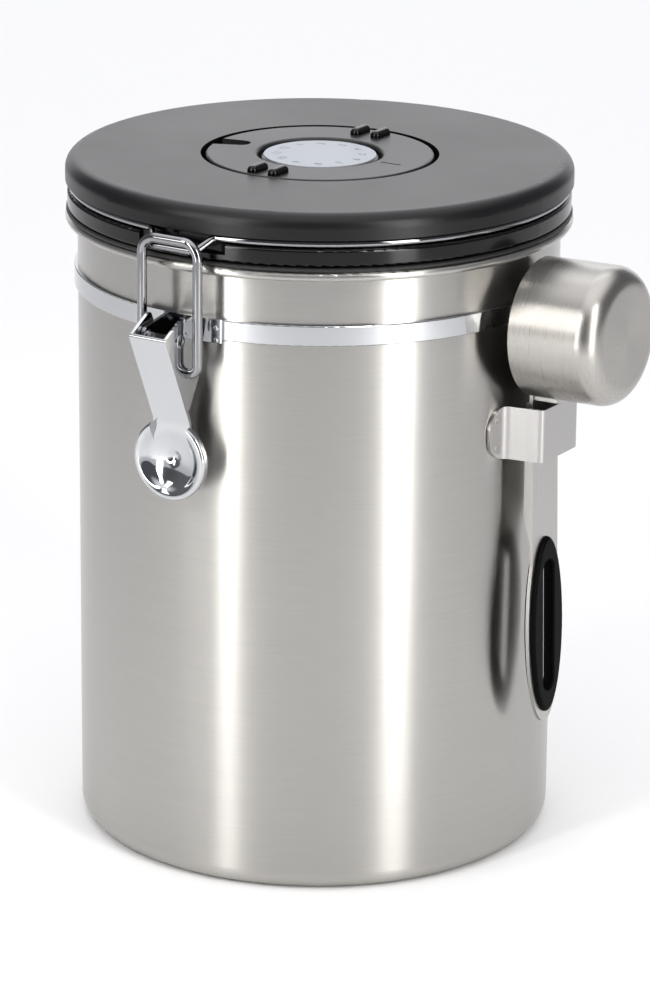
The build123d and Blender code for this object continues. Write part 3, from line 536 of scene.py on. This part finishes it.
def makePressedLever(p):
    low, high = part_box("latch_lever")
    axis = Vector((0, low[2] + (high[0] - low[0]) / 2))     # the round pad is the lever's foot
    bm = bmesh.new()
    bm.from_mesh(nodes["latch_lever"].data)
    bmesh.ops.remove_doubles(bm, verts=bm.verts, dist=p["merge"])
    for _ in range(p["rounds"]):
        coarse = []
        for edge in bm.edges:
            a, b = (v.co.xz for v in edge.verts)
            span = b - a
            share = min(max((axis - a).dot(span) / max(span.length_squared, p["merge"] ** 2), 0), 1)
            if edge.calc_length() > p["finest"] and (a + span * share - axis).length < p["end"]:
                coarse.append(edge)
        bmesh.ops.subdivide_edges(bm, edges=coarse, cuts=1)
        bmesh.ops.triangulate(bm, faces=[f for f in bm.faces if len(f.verts) > 3])
    for v in bm.verts:
        v.co.y += pressDepth((v.co.xz - axis).length, p)
    bmesh.ops.recalc_face_normals(bm, faces=bm.faces)
    for edge in bm.edges:
        edge.smooth = edge.calc_face_angle(0) < radians(p["sharp"])
    lever = makePiece("pressedLever", bm, "chromeTrim", "latch_lever")
    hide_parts("latch_lever")


makePressedLever(padPress)
print("stage: thumb pad")

dialPrint = {
    "count": 12,
    "circle": 0.0106,       # radius of the ring of numbers
    "tall": 0.0021,
    "first": 150,           # degrees of the 1, seen from above; the 12 is opposite the pointer
    "above": 0.00002,
    "turn": 90,             # the numbers stand upright towards the notch
}


def addNumber(bm, text, place, turn, tall):
    curve = bpy.data.curves.new("number" + text, "FONT")
    curve.body = text
    curve.size = 1
    curve.align_x = "CENTER"
    curve.align_y = "CENTER"
    shape = bpy.data.objects.new("number" + text, curve)
    bpy.context.scene.collection.objects.link(shape)
    drawn = shape.evaluated_get(bpy.context.evaluated_depsgraph_get())
    mesh = bpy.data.meshes.new_from_object(drawn)
    bpy.data.objects.remove(shape)
    bpy.data.curves.remove(curve)
    heights = [v.co.y for v in mesh.vertices]
    scale = tall / (max(heights) - min(heights))     # every number is as tall as the next
    turned = Matrix.Rotation(turn, 4, "Z") @ Matrix.Scale(scale, 4)
    mesh.transform(Matrix.Translation(place) @ turned)
    bm.from_mesh(mesh)
    bpy.data.meshes.remove(mesh)


def makeDialNumbers(p):
    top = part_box("dial_face")[1][2] + p["above"]
    bm = bmesh.new()
    for i in range(p["count"]):
        angle = radians(p["first"] - i * 360 / p["count"])
        place = Vector((cos(angle) * p["circle"], sin(angle) * p["circle"], top))
        addNumber(bm, str(i + 1), place, radians(p["turn"]), p["tall"])
    makePiece("dialNumbers", bm, "dialInk", "date_dial")


makeDialNumbers(dialPrint)
print("stage: dial")

welds = {
    "radius": 0.00062,
    "rise": 0.00016,
    "around": 20,
    "holderEdge": 0.0024,       # from the end of the foot
    "holderRise": 0.0032,       # from its top and bottom edges
    "plateEdge": 0.0014,
    "plateRise": 0.0018,
    "far": 0.12,                # a place outside the can to look inwards from
}


def addWeld(bm, nodeName, start, way, w):
    found, place, normal, face = nodes[nodeName].ray_cast(start, way)
    if found:
        turn = normal.to_track_quat("Z", "Y").to_matrix().to_4x4()
        size = Matrix.Diagonal((w["radius"], w["radius"], w["rise"], 1))
        bmesh.ops.create_uvsphere(
            bm, u_segments=w["around"], v_segments=w["around"] // 2, radius=1,
            matrix=Matrix.Translation(place) @ turn @ size)


def makeHolderWelds(w):
    low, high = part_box("scoop_bracket")
    bm = bmesh.new()
    for y in (low[1] + w["holderEdge"], high[1] - w["holderEdge"]):
        for z in (low[2] + w["holderRise"], high[2] - w["holderRise"]):
            addWeld(bm, "scoop_bracket", (w["far"], y, z), (-1, 0, 0), w)
    makePiece("holderWelds", bm, "steelHolder", "can")


def makePlateWelds(name, nodeName, side, w):
    low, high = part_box(nodeName)
    bm = bmesh.new()
    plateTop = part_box("neck_strap")[1][2]
    for x in (low[0] + w["plateEdge"], high[0] - w["plateEdge"]):
        for z in (low[2] + w["plateRise"], plateTop - w["plateRise"]):
            addWeld(bm, nodeName, (x, side * w["far"], z), (0, -side, 0), w)
    makePiece(name, bm, "chromeTrim", "can")


makeHolderWelds(welds)
makePlateWelds("latchWelds", "latch_bracket", -1, welds)
makePlateWelds("hingeWelds", "hinge_bracket", 1, welds)
print("stage: welds")
